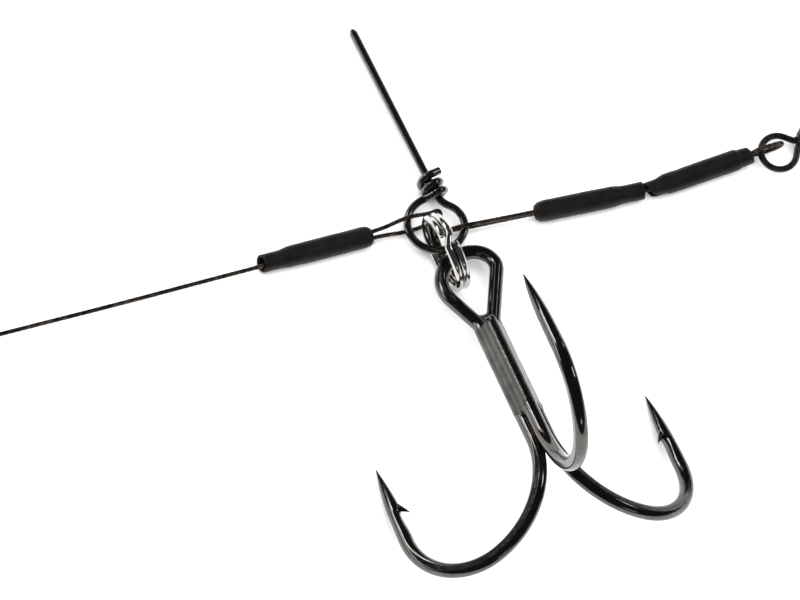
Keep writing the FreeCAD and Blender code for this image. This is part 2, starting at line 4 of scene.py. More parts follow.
import bpy
from mathutils import Matrix, Quaternion, Vector, noise


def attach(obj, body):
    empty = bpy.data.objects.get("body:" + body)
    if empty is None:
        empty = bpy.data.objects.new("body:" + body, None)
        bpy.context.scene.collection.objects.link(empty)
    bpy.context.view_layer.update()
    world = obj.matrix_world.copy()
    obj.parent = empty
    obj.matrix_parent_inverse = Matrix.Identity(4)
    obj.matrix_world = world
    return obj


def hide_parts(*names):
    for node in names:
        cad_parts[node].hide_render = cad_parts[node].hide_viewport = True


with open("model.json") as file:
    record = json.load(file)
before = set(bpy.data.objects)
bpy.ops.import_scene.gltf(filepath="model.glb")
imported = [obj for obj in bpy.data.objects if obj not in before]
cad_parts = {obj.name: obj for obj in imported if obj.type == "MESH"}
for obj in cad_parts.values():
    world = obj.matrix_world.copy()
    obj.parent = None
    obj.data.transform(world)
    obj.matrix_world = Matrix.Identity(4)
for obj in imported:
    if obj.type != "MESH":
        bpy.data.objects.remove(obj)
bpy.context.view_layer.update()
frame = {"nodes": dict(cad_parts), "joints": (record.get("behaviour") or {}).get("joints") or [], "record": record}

# ---------------------------------------------------------------- where things are

MM = 0.001
X_AXIS, Y_AXIS, Z_AXIS = Vector((1, 0, 0)), Vector((0, 1, 0)), Vector((0, 0, 1))
JOINTS = {joint["name"]: joint for joint in frame["joints"]}


def joint_point(name):
    return Vector(JOINTS[name]["pos_m"])


def joint_axis(name):
    return Vector(JOINTS[name]["axis"]).normalized()


# The part's own dimensions, in millimetres, measured from a point on the floor near the pin's eye.
PIN_EYE = joint_point("ring_on_pin")
HUB = PIN_EYE - Vector((-0.23, -0.3, 1.34)) * MM


def rig(x, y, z):
    """A point of the rig, given in millimetres from the hub."""
    return HUB + Vector((x, y, z)) * MM


def smooth(x, low, high):
    """0 below low, 1 above high, and a soft step between."""
    t = min(1.0, max(0.0, (x - low) / (high - low)))
    return t * t * (3 - 2 * t)


def apart_round(one, other):
    """How far apart two angles are, the short way round."""
    return math.acos(max(-1.0, min(1.0, math.cos(one - other))))


def lerp_table(table, x):
    """A smooth curve through (x, y) pairs."""
    if x <= table[0][0]:
        return table[0][1]
    for (x0, y0), (x1, y1) in zip(table, table[1:]):
        if x <= x1:
            return y0 + (y1 - y0) * smooth(x, x0, x1)
    return table[-1][1]


# ---------------------------------------------------------------- camera

camera = bpy.data.objects.new("camera", bpy.data.cameras.new("camera"))
bpy.context.scene.collection.objects.link(camera)
bpy.context.scene.camera = camera
camera.data.sensor_width = 36.0
camera.data.lens = 167.39
camera.data.clip_start = 0.01
camera.data.clip_end = 20.0
CAMERA_RIGHT = Vector((0.94174, -0.31124, 0.12751))
CAMERA_UP = Vector((0.24867, 0.89955, 0.35912))
CAMERA_BACK = Vector((-0.22647, -0.30649, 0.92454))
camera_turn = Matrix((CAMERA_RIGHT, CAMERA_UP, CAMERA_BACK)).transposed()
camera.matrix_world = Matrix.Translation(rig(-77.155, -103.147, 294.059)) @ camera_turn.to_4x4()

# ---------------------------------------------------------------- materials

NOISE_ROUGHNESS = 0.6


class Look:
    """A node material with one Principled shader, built in steps."""

    def __init__(self, name, color, metallic, roughness):
        self.material = bpy.data.materials.new(name)
        self.material.use_nodes = True
        self.tree = self.material.node_tree
        self.shader = self.tree.nodes["Principled BSDF"]
        self.shader.inputs["Base Color"].default_value = (*color, 1)
        self.shader.inputs["Metallic"].default_value = metallic
        self.shader.inputs["Roughness"].default_value = roughness
        self.place = self.node("ShaderNodeTexCoord").outputs["Object"]
        self.height = None

    def node(self, kind):
        return self.tree.nodes.new(kind)

    def link(self, source, target):
        self.tree.links.new(source, target)

    def stretched(self, scale):
        mapping = self.node("ShaderNodeMapping")
        mapping.inputs["Scale"].default_value = scale
        self.link(self.place, mapping.inputs["Vector"])
        return mapping.outputs["Vector"]

    def noise(self, scale, detail, place=None):
        made = self.node("ShaderNodeTexNoise")
        made.inputs["Scale"].default_value = scale
        made.inputs["Detail"].default_value = detail
        made.inputs["Roughness"].default_value = NOISE_ROUGHNESS
        self.link(place or self.place, made.inputs["Vector"])
        return made.outputs["Fac"]

    def spread(self, source, low, high, to_low, to_high):
        made = self.node("ShaderNodeMapRange")
        for key, value in (
            ("From Min", low),
            ("From Max", high),
            ("To Min", to_low),
            ("To Max", to_high),
        ):
            made.inputs[key].default_value = value
        self.link(source, made.inputs["Value"])
        return made.outputs["Result"]

    def math(self, operation, first, second):
        made = self.node("ShaderNodeMath")
        made.operation = operation
        for index, value in enumerate((first, second)):
            if isinstance(value, (int, float)):
                made.inputs[index].default_value = value
            else:
                self.link(value, made.inputs[index])
        return made.outputs[0]

    def colors(self, source, stops):
        """Base colour from a ramp over a 0 to 1 value."""
        ramp = self.node("ShaderNodeValToRGB")
        elements = ramp.color_ramp.elements
        while len(elements) < len(stops):
            elements.new(0.5)
        for element, (position, color) in zip(elements, stops):
            element.position = position
            element.color = (*color, 1)
        self.link(source, ramp.inputs["Fac"])
        self.link(ramp.outputs["Color"], self.shader.inputs["Base Color"])
        return self

    def rough(self, source):
        self.link(source, self.shader.inputs["Roughness"])
        return self

    def bump(self, source, strength, distance):
        made = self.node("ShaderNodeBump")
        made.inputs["Strength"].default_value = strength
        made.inputs["Distance"].default_value = distance
        self.link(source, made.inputs["Height"])
        if self.height is not None:
            self.link(self.height, made.inputs["Normal"])
        self.height = made.outputs["Normal"]
        self.link(self.height, self.shader.inputs["Normal"])
        return self


def black_nickel(name, dark, light, rough_low, rough_high, grain):
    """Dark polished plating: cloudy tint, fine haze and shallow ripples."""
    look = Look(name, light, 1.0, rough_low)
    clouds = look.noise(900, 5)
    look.colors(clouds, [(0.3, dark), (0.7, light)])
    haze = look.noise(2600, 6)
    specks = look.noise(9000, 2)
    look.rough(look.spread(look.math("MULTIPLY", haze, specks), 0.15, 0.42, rough_low, rough_high))
    look.bump(look.noise(700, 3), 0.10, grain)
    look.bump(look.noise(5200, 4), 0.14, grain * 0.3)
    return look.material


def polished(name, dark, light, rough_low, rough_high, along, wear=1.0):
    """Bright metal with faint lines, stretched by the scale `along`, and a light haze."""
    look = Look(name, light, 1.0, rough_low)
    lines = look.noise(700, 5, look.stretched(along))
    look.colors(look.noise(1300, 5), [(0.25, dark), (0.7, light)])
    look.rough(look.spread(lines, 0.3, 0.7, rough_low, rough_high))
    look.bump(lines, 0.08 * wear, 0.00002)
    look.bump(look.noise(4200, 4), 0.10 * wear, 0.000006)
    return look.material


def wire_look():
    look = Look("leader_wire_strands", (0.05, 0.04, 0.032), 0.85, 0.34)
    look.colors(
        look.noise(1500, 4),
        [(0.3, (0.014, 0.011, 0.01)), (0.55, (0.06, 0.046, 0.036)), (0.8, (0.26, 0.2, 0.15))],
    )
    look.rough(look.spread(look.noise(5200, 4), 0.3, 0.7, 0.16, 0.4))
    look.bump(look.noise(9000, 3), 0.25, 0.00001)
    return look.material


def shrink_look():
    look = Look("heat_shrink", (0.006, 0.0055, 0.005), 0.0, 0.5)
    look.shader.inputs["Specular IOR Level"].default_value = 0.16
    look.colors(
        look.noise(600, 5),
        [(0.3, (0.0035, 0.0032, 0.003)), (0.75, (0.0085, 0.0078, 0.0072))],
    )
    look.rough(look.spread(look.noise(2400, 5), 0.3, 0.7, 0.36, 0.58))
    folds = look.noise(420, 3, look.stretched((1, 3.2, 1)))
    look.bump(folds, 0.4, 0.00014)
    look.bump(look.noise(7000, 4), 0.3, 0.00002)
    return look.material


def swivel_look():
    look = Look("satin_black_metal", (0.02, 0.02, 0.021), 0.9, 0.3)
    look.colors(look.noise(1800, 5), [(0.3, (0.02, 0.02, 0.02)), (0.75, (0.075, 0.072, 0.07))])
    look.rough(look.spread(look.noise(3600, 5), 0.3, 0.7, 0.24, 0.42))
    look.bump(look.noise(5200, 4), 0.22, 0.000012)
    return look.material


def brass_look():
    look = Look("dark_brass_tube", (0.12, 0.09, 0.05), 1.0, 0.4)
    look.colors(look.noise(1500, 4), [(0.3, (0.06, 0.045, 0.03)), (0.7, (0.2, 0.15, 0.08))])
    look.rough(look.spread(look.noise(3200, 4), 0.3, 0.7, 0.3, 0.5))
    look.bump(look.noise(3000, 3), 0.2, 0.00002)
    return look.material


LOOKS = {
    "hook_black_nickel": black_nickel(
        "black_nickel", (0.075, 0.071, 0.067), (0.12, 0.114, 0.108), 0.07, 0.19, 0.00003
    ),
    "shank_braze": black_nickel(
        "plated_solder", (0.05, 0.048, 0.045), (0.105, 0.1, 0.094), 0.16, 0.38, 0.00008
    ),
    "ring_chrome": polished(
        "bright_ring", (0.42, 0.41, 0.39), (0.56, 0.54, 0.52), 0.09, 0.16, (1, 1, 1), wear=0.35
    ),
    "pin_steel": polished(
        "spring_steel", (0.1, 0.094, 0.086), (0.16, 0.15, 0.14), 0.13, 0.26, (6, 0.6, 6)
    ),
    "leader_wire": wire_look(),
    "crimp_brass": brass_look(),
    "sleeve_shrink": shrink_look(),
    "swivel_black": swivel_look(),
}
SLOT_OF = {row["node"]: row["material_slot"] for row in frame["record"]["subparts"]}

for node, piece in frame["nodes"].items():
    piece.data.materials.clear()
    piece.data.materials.append(LOOKS[SLOT_OF[node]])
    for polygon in piece.data.polygons:
        polygon.use_smooth = True

# ---------------------------------------------------------------- tools for pieces


def new_piece(name, points, faces, slot_name, body, stand_for):
    """A mesh in world space that rides on a body and takes the place of CAD nodes."""
    mesh = bpy.data.meshes.new(name)
    mesh.from_pydata([tuple(point) for point in points], [], faces)
    mesh.validate()
    for polygon in mesh.polygons:
        polygon.use_smooth = True
    mesh.materials.append(LOOKS[slot_name])
    piece = bpy.data.objects.new(name, mesh)
    bpy.context.scene.collection.objects.link(piece)
    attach(piece, body)
    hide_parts(*stand_for)
    return piece


def carried_frames(points, up=None):
    """A tangent and two side directions at each point, with as little twist as can be."""
    last_index = len(points) - 1
    tangents = []
    for index in range(len(points)):
        before = points[max(0, index - 1)]
        after = points[min(last_index, index + 1)]
        tangents.append((after - before).normalized())
    side = up or (Z_AXIS if abs(tangents[0].z) < 0.8 else X_AXIS)
    side = (side - tangents[0] * side.dot(tangents[0])).normalized()
    frames = []
    for index, tangent in enumerate(tangents):
        if index:
            side = (side - tangent * side.dot(tangent)).normalized()
        frames.append((tangent, side, tangent.cross(side)))
    return frames


class Shape:
    """Points and faces gathered from rings of points."""

    def __init__(self):
        self.points = []
        self.faces = []

    def ring(self, points):
        first = len(self.points)
        self.points += points
        return list(range(first, first + len(points)))

    def join(self, one, other):
        count = len(one)
        for index in range(count):
            after = (index + 1) % count
            self.faces.append((one[index], one[after], other[after], other[index]))

    def skin(self, rings):
        """Walls between rings that follow each other, and a cap at each end."""
        for one, following in zip(rings, rings[1:]):
            self.join(one, following)
        self.faces.append(tuple(reversed(rings[0])))
        self.faces.append(tuple(rings[-1]))

    def tube(self, points, radius, sides, up=None):
        """radius is a number, or a function of the point's index and the angle round the tube."""
        frames = carried_frames(points, up)
        rings = []
        for index, (point, (_, side, other)) in enumerate(zip(points, frames)):
            places = []
            for step in range(sides):
                angle = 2 * math.pi * step / sides
                size = radius(index, angle) if callable(radius) else radius
                places.append(point + (side * math.cos(angle) + other * math.sin(angle)) * size)
            rings.append(self.ring(places))
        self.skin(rings)


class Path:
    """Points along straight runs and arcs, in millimetres."""

    ARC_STEP = 0.12
    RUN_STEP = 0.36

    def __init__(self, start, direction):
        self.points = [Vector(start)]
        self.direction = Vector(direction).normalized()

    def run(self, length, step=RUN_STEP):
        count = max(1, round(length / step))
        start = self.points[-1]
        for index in range(1, count + 1):
            self.points.append(start + self.direction * (length * index / count))

    def turn(self, radius, degrees, axis):
        axis = Vector(axis).normalized() * math.copysign(1, degrees)
        degrees = abs(degrees)
        count = max(2, round(radius * math.radians(degrees) / self.ARC_STEP))
        spoke = self.direction.cross(axis) * radius
        centre = self.points[-1] - spoke
        for index in range(1, count + 1):
            turned = Quaternion(axis, math.radians(degrees * index / count))
            self.points.append(centre + turned @ spoke)
        self.direction = Quaternion(axis, math.radians(degrees)) @ self.direction


# ---------------------------------------------------------------- leader wires

STRAND_RADIUS = 0.0635 * MM
STRAND_SIDES = 8
STRAND_STEP = 0.14 * MM
TWIST_LENGTH = 3.4 * MM
WIRE_RADIUS = 0.19 * MM


def spline_points(name, corners):
    """Points along one smooth NURBS spline through the route's control points."""
    curve = bpy.data.curves.new(name, "CURVE")
    curve.dimensions = "3D"
    spline = curve.splines.new("NURBS")
    spline.points.add(len(corners) - 1)
    for point, corner in zip(spline.points, corners):
        point.co = (*corner, 1)
    spline.order_u = 3
    spline.use_endpoint_u = True
    spline.resolution_u = 24
    holder = bpy.data.objects.new(name, curve)
    mesh = bpy.data.meshes.new_from_object(holder)
    points = [vertex.co.copy() for vertex in mesh.vertices]
    bpy.data.objects.remove(holder)
    bpy.data.curves.remove(curve)
    bpy.data.meshes.remove(mesh)
    return points


def evenly(points, gap):
    """The same line with its points a fixed distance apart."""
    lengths = [0.0]
    for one, other in zip(points, points[1:]):
        lengths.append(lengths[-1] + (other - one).length)
    count = max(2, round(lengths[-1] / gap))
    result = []
    segment = 0
    for index in range(count + 1):
        target = lengths[-1] * index / count
        while segment < len(points) - 2 and lengths[segment + 1] < target:
            segment += 1
        span = lengths[segment + 1] - lengths[segment]
        share = (target - lengths[segment]) / span if span else 0.0
        result.append(points[segment].lerp(points[segment + 1], min(1.0, max(0.0, share))))
    return result


def stranded(name, line, body, stand_for, splay=None):
    """Six filaments laid round a core along a line of points."""
    points = evenly(line, STRAND_STEP)
    frames = carried_frames(points)
    shape = Shape()
    shape.tube(points, STRAND_RADIUS, STRAND_SIDES)
    for strand in range(6):
        start = 2 * math.pi * strand / 6
        places = []
        for index, (point, (_, side, other)) in enumerate(zip(points, frames)):
            along = index / (len(points) - 1)
            angle = start + 2 * math.pi * index * STRAND_STEP / TWIST_LENGTH
            reach = (WIRE_RADIUS - STRAND_RADIUS) * (splay(along, strand) if splay else 1.0)
            places.append(point + (side * math.cos(angle) + other * math.sin(angle)) * reach)
        shape.tube(places, STRAND_RADIUS, STRAND_SIDES)
    return new_piece(name, shape.points, shape.faces, "leader_wire", body, stand_for)


# Sleeve lines: where each starts, and its heading on the floor.
SLEEVE_HEIGHT = 0.95
SLEEVE_LENGTH = 9.9
CRIMP_START = 2.4
STRAND_END = CRIMP_START + 0.3
STRAND_OFFSET = 0.2
LINES = {
    "left": (Vector((-15.8, 0.32, SLEEVE_HEIGHT)), 0.0),
    "end": (Vector((-41.6, 0.32, SLEEVE_HEIGHT)), 180.0),
    "middle": (Vector((18.41, -1.96, SLEEVE_HEIGHT)), 176.9),
    "right": (Vector((18.86, -2.08, SLEEVE_HEIGHT)), 4.6),
}


def heading(degrees):
    return Vector((math.cos(math.radians(degrees)), math.sin(math.radians(degrees)), 0))


def on_line(name, distance, across=0.0, rise=0.0):
    """A point beside a sleeve's line, in metres."""
    start, yaw = LINES[name]
    along = heading(yaw)
    left = Z_AXIS.cross(along)
    return rig(*(start + along * distance + left * across + Z_AXIS * rise))


LOOP_LEAD = SLEEVE_LENGTH + 0.3
LINK_LEAD = SLEEVE_LENGTH + 0.1

trace_route = [
    on_line("left", CRIMP_START, -STRAND_OFFSET),
    on_line("left", -5.1, -STRAND_OFFSET, -0.04),
    on_line("left", -10.5, -STRAND_OFFSET, -0.15),
    on_line("left", -15.3, -STRAND_OFFSET, -0.15),
    on_line("end", -5.1, STRAND_OFFSET, -0.04),
    on_line("end", CRIMP_START, STRAND_OFFSET),
]
trace_line = evenly(spline_points("trace_route", trace_route), STRAND_STEP)
trace = stranded("trace_strands", trace_line, "leader", ["trace_wire"])

end_route = [
    on_line("end", CRIMP_START, STRAND_OFFSET),
    on_line("end", LOOP_LEAD, STRAND_OFFSET),
    on_line("end", LOOP_LEAD + 2.2, 1.3, -0.35),
    on_line("end", LOOP_LEAD + 4.4, 1.2, -0.6),
    on_line("end", LOOP_LEAD + 5.1, -0.1, -0.65),
    on_line("end", LOOP_LEAD + 4.2, -1.3, -0.6),
    on_line("end", LOOP_LEAD + 2.0, -1.3, -0.35),
    on_line("end", LOOP_LEAD, -STRAND_OFFSET),
    on_line("end", STRAND_END, -STRAND_OFFSET),
]
end_line = spline_points("end_route", end_route)
end_loop = stranded("end_loop_strands", end_line, "leader", ["end_loop"])

left_route = [
    on_line("left", CRIMP_START, -STRAND_OFFSET),
    on_line("left", LOOP_LEAD, -STRAND_OFFSET),
    rig(-3.3, -0.02, 0.62),
    rig(-2.2, -0.05, 0.6),
    rig(-0.7, 0.02, 0.86),
    rig(0.42, 0.16, 0.96),
    rig(0.5, 0.88, 1.5),
    rig(-0.6, 0.6, 1.78),
    rig(-2.1, 0.68, 2.11),
    rig(-3.2, 0.64, 2.03),
    on_line("left", LOOP_LEAD, STRAND_OFFSET),
    on_line("left", STRAND_END, STRAND_OFFSET),
]
stranded("left_loop_strands", spline_points("left_route", left_route), "leader", ["left_loop"])

link_route = [
    on_line("middle", STRAND_END, 0, STRAND_OFFSET),
    on_line("middle", LINK_LEAD, 0, STRAND_OFFSET),
    rig(3.0, -1.4, 2.05),
    rig(1.9, -1.32, 2.09),
    rig(0.62, -1.24, 1.78),
    rig(0.62, -0.96, 0.82),
    rig(1.9, -1.02, 0.58),
    rig(3.0, -1.08, 0.6),
    on_line("middle", LINK_LEAD, 0, -STRAND_OFFSET),
    on_line("middle", 1.0, 0, -STRAND_OFFSET),
    on_line("right", 1.0, 0, -STRAND_OFFSET),
    on_line("right", LINK_LEAD, 0, -STRAND_OFFSET),
    rig(29.3, -1.26, 0.6),
    rig(30.2, -1.24, 0.55),
    rig(31.86, -1.12, 0.7),
    rig(31.86, -1.1, 1.6),
    rig(30.2, -1.22, 1.76),
    rig(29.3, -1.26, 1.72),
    on_line("right", LINK_LEAD, 0, STRAND_OFFSET),
    on_line("right", STRAND_END, 0, STRAND_OFFSET),
]
LINK_TURN = 0.745
SPLAY_WIDTH = 0.013


def link_splay(along, strand):
    """The filaments stand apart where the wire turns back in the swivel's eye."""
    near = math.exp(-(((along - LINK_TURN) / SPLAY_WIDTH) ** 2))
    return 1.0 + near * (0.55 + 0.35 * math.sin(strand * 2.4))


link_line = spline_points("link_route", link_route)
stranded("link_strands", link_line, "link", ["link_wire"], link_splay)

# ---------------------------------------------------------------- shrink sleeves

SLEEVE_SIDES = 48
SLEEVE_STEPS = 130
SLEEVE_WALL = 0.2
MOUTH_DEPTH = 1.7
CUT_REACH = 2.2
FLOOR_GAP = 0.005


def make_sleeve(which, body, profile, cut_low, cut_high, seed, bends=()):
    """A shrunk tube with an open mouth at each end.

    profile: radius in mm at distances along it.  cut_low and cut_high: how far each cut leans,
    towards which side, and its notch.  seed: where its dents are read in the noise.
    bends: soft dents or bumps (distance, angle, reach, width, spread)."""
    start, yaw = LINES[which]
    along = heading(yaw)
    left = Z_AXIS.cross(along)
    shape = Shape()

    def place(distance, angle, inset):
        radius = lerp_table(profile, distance)
        flow = Vector((distance * 0.55 + seed, math.cos(angle) * 1.1, math.sin(angle) * 1.1))
        radius += 0.028 * noise.noise(flow) + 0.012 * noise.noise(flow * 3.1)
        for where, side, reach, width, spread in bends:
            apart = apart_round(angle, side)
            near = math.exp(-(((distance - where) / width) ** 2 + (apart / spread) ** 2))
            radius += reach * near
        radius = min(radius, SLEEVE_HEIGHT - FLOOR_GAP) - inset
        lean_low = cut_low[0] * math.cos(angle - cut_low[1]) + cut_low[2](angle)
        lean_high = cut_high[0] * math.cos(angle - cut_high[1]) + cut_high[2](angle)
        shift = lean_low * (1 - smooth(distance, 0, CUT_REACH)) + lean_high * smooth(
            distance, SLEEVE_LENGTH - CUT_REACH, SLEEVE_LENGTH
        )
        centre = start + along * (distance + shift)
        return rig(*(centre + (left * math.cos(angle) + Z_AXIS * math.sin(angle)) * radius))

    def ring(distance, inset):
        angles = [2 * math.pi * step / SLEEVE_SIDES for step in range(SLEEVE_SIDES)]
        return shape.ring([place(distance, angle, inset) for angle in angles])

    wall = SLEEVE_WALL
    inner_low = [(MOUTH_DEPTH * (1 - t), wall) for t in (0.0, 0.35, 0.7, 0.9, 0.975)]
    rim_low = [(0.012, wall * 0.86), (0.0, wall * 0.5), (0.012, wall * 0.14)]
    outer = [(SLEEVE_LENGTH * step / SLEEVE_STEPS, 0.0) for step in range(1, SLEEVE_STEPS)]
    rim_high = [(SLEEVE_LENGTH - d, i) for d, i in reversed(rim_low)]
    inner_high = [(SLEEVE_LENGTH - d, i) for d, i in reversed(inner_low)]
    shape.skin([ring(*spot) for spot in inner_low + rim_low + outer + rim_high + inner_high])
    name = f"sleeve_{which}"
    return new_piece(f"{name}_skin", shape.points, shape.faces, "sleeve_shrink", body, [name])


def straight(_):
    """No notch."""
    return 0.0


def notch(where, depth, spread):
    """A V-shaped notch in a mouth's rim."""

    def cut(angle):
        apart = apart_round(angle, where)
        return depth * max(0.0, 1 - apart / spread)

    return cut


make_sleeve(
    "left",
    "leader",
    [(0, 0.8), (1.5, 0.78), (2.6, 0.9), (4.2, 0.94), (9.1, 0.94), (9.55, 0.88), (9.9, 0.7)],
    (0.24, 1.9, straight),
    (0.07, 2.0, straight),
    3.0,
    [(2.7, 1.2, 0.05, 0.7, 1.2), (9.4, 0.6, 0.02, 0.4, 1.0)],
)
sleeve_end = make_sleeve(
    "end",
    "leader",
    [(0, 0.8), (1.6, 0.8), (2.6, 0.91), (4.2, 0.94), (9.1, 0.94), (9.55, 0.87), (9.9, 0.7)],
    (0.12, 2.6, straight),
    (0.06, 1.0, straight),
    11.0,
)
make_sleeve(
    "middle",
    "link",
    [
        (0, 0.8), (1.9, 0.8), (2.5, 0.87), (2.8, 0.92), (4.0, 0.94), (8.9, 0.94), (9.5, 0.86),
        (9.9, 0.64),
    ],
    (0.04, 0.0, straight),
    (0.05, 1.0, straight),
    21.0,
    [(2.7, 4.5, 0.04, 0.5, 1.0)],
)
make_sleeve(
    "right",
    "link",
    [
        (0, 0.74), (1.0, 0.76), (1.9, 0.92), (2.6, 0.94), (7.6, 0.94), (8.4, 0.95), (8.95, 0.82),
        (9.9, 0.78),
    ],
    (0.3, 3.5, notch(3.3, 0.5, 0.7)),
    (0.14, 3.0, notch(3.9, -0.25, 0.5)),
    33.0,
    [(2.0, 0.6, 0.05, 0.5, 0.9), (8.4, 0.7, 0.06, 0.4, 0.9), (9.4, 1.6, 0.05, 0.3, 0.6)],
)

tuple(trace_line[0])
[tuple(point) for point in trace_line]

# ---------------------------------------------------------------- treble hook

# In the treble's own frame the shanks run up +Z towards the eye, and Z = 0 is where they bend.
HOOK_RADIUS = 0.622
SHANK_SPACING = 1.27
BUNDLE_RADIUS = SHANK_SPACING / math.sqrt(3)
TREBLE = Matrix.Translation(rig(0.3, -22.81, 8.57)) @ (
    Matrix.Rotation(math.radians(-109.0), 4, "X") @ Matrix.Scale(MM, 4)
)
POINT_LENGTH = 4.5
SPEAR_LENGTH = 3.2
INNER_BEND, INNER_DEGREES = 7.84, 81.5
OUTER_BEND, OUTER_DEGREES = 5.86, 99.0
SIDE_TAPER = 9.0
BENT_LENGTH = 30.0
FORGED_FLAT = 0.13
TIP_SHARE = 0.03
BARB_HOLLOW = 0.2
HOOK_SIDES = 40
EYE_TOP = 20.43
EYE_RIGHT_RADIUS = 1.9
EYE_LEFT_RADIUS = 3.3
EYE_SHIFT = 1.12
CROTCH_RADIUS = 2.0
CROTCH_HEIGHT = 12.24
SINGLE_TOP = 11.85


def bend_hook(path, outward):
    """Through the bend, up the spear and out to the point's tip."""
    axis = outward.cross(Z_AXIS)
    path.turn(INNER_BEND, INNER_DEGREES, axis)
    path.turn(OUTER_BEND, OUTER_DEGREES, axis)
    path.run(SPEAR_LENGTH, 0.12)
    path.run(POINT_LENGTH, 0.06)


def bent_size(distance, turned):
    """The wire's radius at a distance from its tip and an angle from the side that faces inward.

    It has the tapered point, the hollow that the barb was cut from and the bend's forged flats."""
    high = TIP_SHARE + (1 - TIP_SHARE) * (1 - (1 - min(1.0, distance / POINT_LENGTH)) ** 1.45)
    wide = TIP_SHARE + (1 - TIP_SHARE) * (1 - (1 - min(1.0, distance / SIDE_TAPER)) ** 3.2)
    size = HOOK_RADIUS * high * wide / math.hypot(wide * math.cos(turned), high * math.sin(turned))
    hollow = smooth(distance, 4.75, 5.05) * (1 - smooth(distance, 5.05, 7.6))
    size -= BARB_HOLLOW * hollow * max(0.0, math.cos(turned)) ** 1.5
    forged = smooth(distance, 8.5, 12) * (1 - smooth(distance, 25, 29))
    flat = 1 - FORGED_FLAT * forged
    return min(size, HOOK_RADIUS * flat / max(0.3, abs(math.sin(turned))))


def hook_radius(points, at_end, at_start=None):
    """The radius for tube().  at_end and at_start: the angle that faces inward at a hooked end."""
    reach = [0.0]
    for one, other in zip(reversed(points), list(reversed(points))[1:]):
        reach.append(reach[-1] + (other - one).length)
    from_end = list(reversed(reach))

    def radius(index, angle):
        from_start = reach[-1] - from_end[index]
        for facing, distance in ((at_end, from_end[index]), (at_start, from_start)):
            if facing is not None and distance < BENT_LENGTH:
                return bent_size(distance, angle - facing)
        return HOOK_RADIUS

    return radius


def barb(shape, tip, direction, inward):
    """A slim curved sliver lifted from the wire, pointing back and inward."""
    sideways = direction.cross(inward)
    # Distance back from the tip, height above the middle of the wire, half thickness, half width.
    table = [
        (4.05, 0.10, 0.40, 0.34),
        (4.45, 0.42, 0.36, 0.32),
        (4.72, 0.66, 0.26, 0.27),
        (4.94, 0.86, 0.18, 0.21),
        (5.14, 1.03, 0.115, 0.15),
        (5.32, 1.16, 0.065, 0.09),
        (5.48, 1.255, 0.028, 0.045),
        (5.58, 1.30, 0.008, 0.012),
    ]
    sides = 16
    rings = []
    middles = [tip - direction * back + inward * height for back, height, _, _ in table]
    for index, (middle, (_, _, thick, wide)) in enumerate(zip(middles, table)):
        before = middles[max(0, index - 1)]
        after = middles[min(len(middles) - 1, index + 1)]
        along = (after - before).normalized()
        across = along.cross(sideways).normalized()
        places = []
        for step in range(sides):
            angle = 2 * math.pi * step / sides
            lift = across * (thick * math.cos(angle))
            spread = sideways * (wide * math.sin(angle))
            places.append(middle + lift + spread)
        rings.append(shape.ring(places))
    shape.skin(rings)


def side_angle(points, index, wanted):
    """The angle round the tube, at one point, that faces a wanted direction."""
    _, side, other = carried_frames(points)[index]
    return math.atan2(wanted.dot(other), wanted.dot(side))


def half_double(shift, eye):
    """The right half of the double hook, from its eye's top to its point.

    shift and eye: the place and radius of the arc that rounds the eye on this side."""
    outward = heading(30)
    shank = outward * BUNDLE_RADIUS
    eye_centre = Vector((shift, shank.y, EYE_TOP - eye))
    crotch_centre = Vector((shank.x + CROTCH_RADIUS, shank.y, CROTCH_HEIGHT))
    apart = eye_centre - crotch_centre
    leg = math.atan2(apart.z, -apart.x) - math.acos((eye + CROTCH_RADIUS) / apart.length)
    leg_length = math.sqrt(apart.length**2 - (eye + CROTCH_RADIUS) ** 2)
    path = Path(eye_centre + Z_AXIS * eye, X_AXIS)
    path.turn(eye, 90 + math.degrees(leg), Y_AXIS)
    path.run(leg_length)
    path.turn(CROTCH_RADIUS, -math.degrees(leg), Y_AXIS)
    path.run(path.points[-1].z)
    bend_hook(path, outward)
    return path, outward


def treble_piece(name, shape, slot_name, node):
    """A piece on the treble, from a shape in the treble's own frame."""
    points = [TREBLE @ point for point in shape.points]
    new_piece(name, points, shape.faces, slot_name, "treble", [node])


def mirrored(vector):
    return Vector((-vector.x, vector.y, vector.z))


right, right_outward = half_double(EYE_SHIFT, EYE_RIGHT_RADIUS)
left, left_outward = half_double(-EYE_SHIFT, EYE_LEFT_RADIUS)
left_points = [mirrored(point) for point in left.points]
left_direction = mirrored(left.direction)
double_points = list(reversed(left_points)) + right.points[1:]


def inward_of(outward, direction):
    """The direction from the spear towards the shank."""
    inward = -outward - direction * (-outward).dot(direction)
    return inward.normalized()


right_in = inward_of(right_outward, right.direction)
left_in = inward_of(mirrored(left_outward), left_direction)
right_angle = side_angle(double_points, len(double_points) - 1, right_in)
left_angle = side_angle(double_points, 0, left_in)
double_shape = Shape()
double_shape.tube(double_points, hook_radius(double_points, right_angle, left_angle), HOOK_SIDES)
barb(double_shape, right.points[-1], right.direction, right_in)
barb(double_shape, left_points[-1], left_direction, left_in)
treble_piece("double_hook_wire", double_shape, "hook_black_nickel", "double_hook")

single_outward = heading(-90)
single = Path(single_outward * BUNDLE_RADIUS + Z_AXIS * SINGLE_TOP, -Z_AXIS)
single.run(SINGLE_TOP)
bend_hook(single, single_outward)
single_in = inward_of(single_outward, single.direction)
single_angle = side_angle(single.points, len(single.points) - 1, single_in)
single_shape = Shape()
single_shape.tube(single.points, hook_radius(single.points, single_angle), HOOK_SIDES)
barb(single_shape, single.points[-1], single.direction, single_in)
treble_piece("single_hook_wire", single_shape, "hook_black_nickel", "single_hook")

# The braze: one skin that follows the three shanks and fills the grooves between them.
BRAZE_BOTTOM = 1.7
BRAZE_TOP = 12.35
BRAZE_SIDES = 96
BRAZE_STEPS = 90
FILLER_BLEND = 22


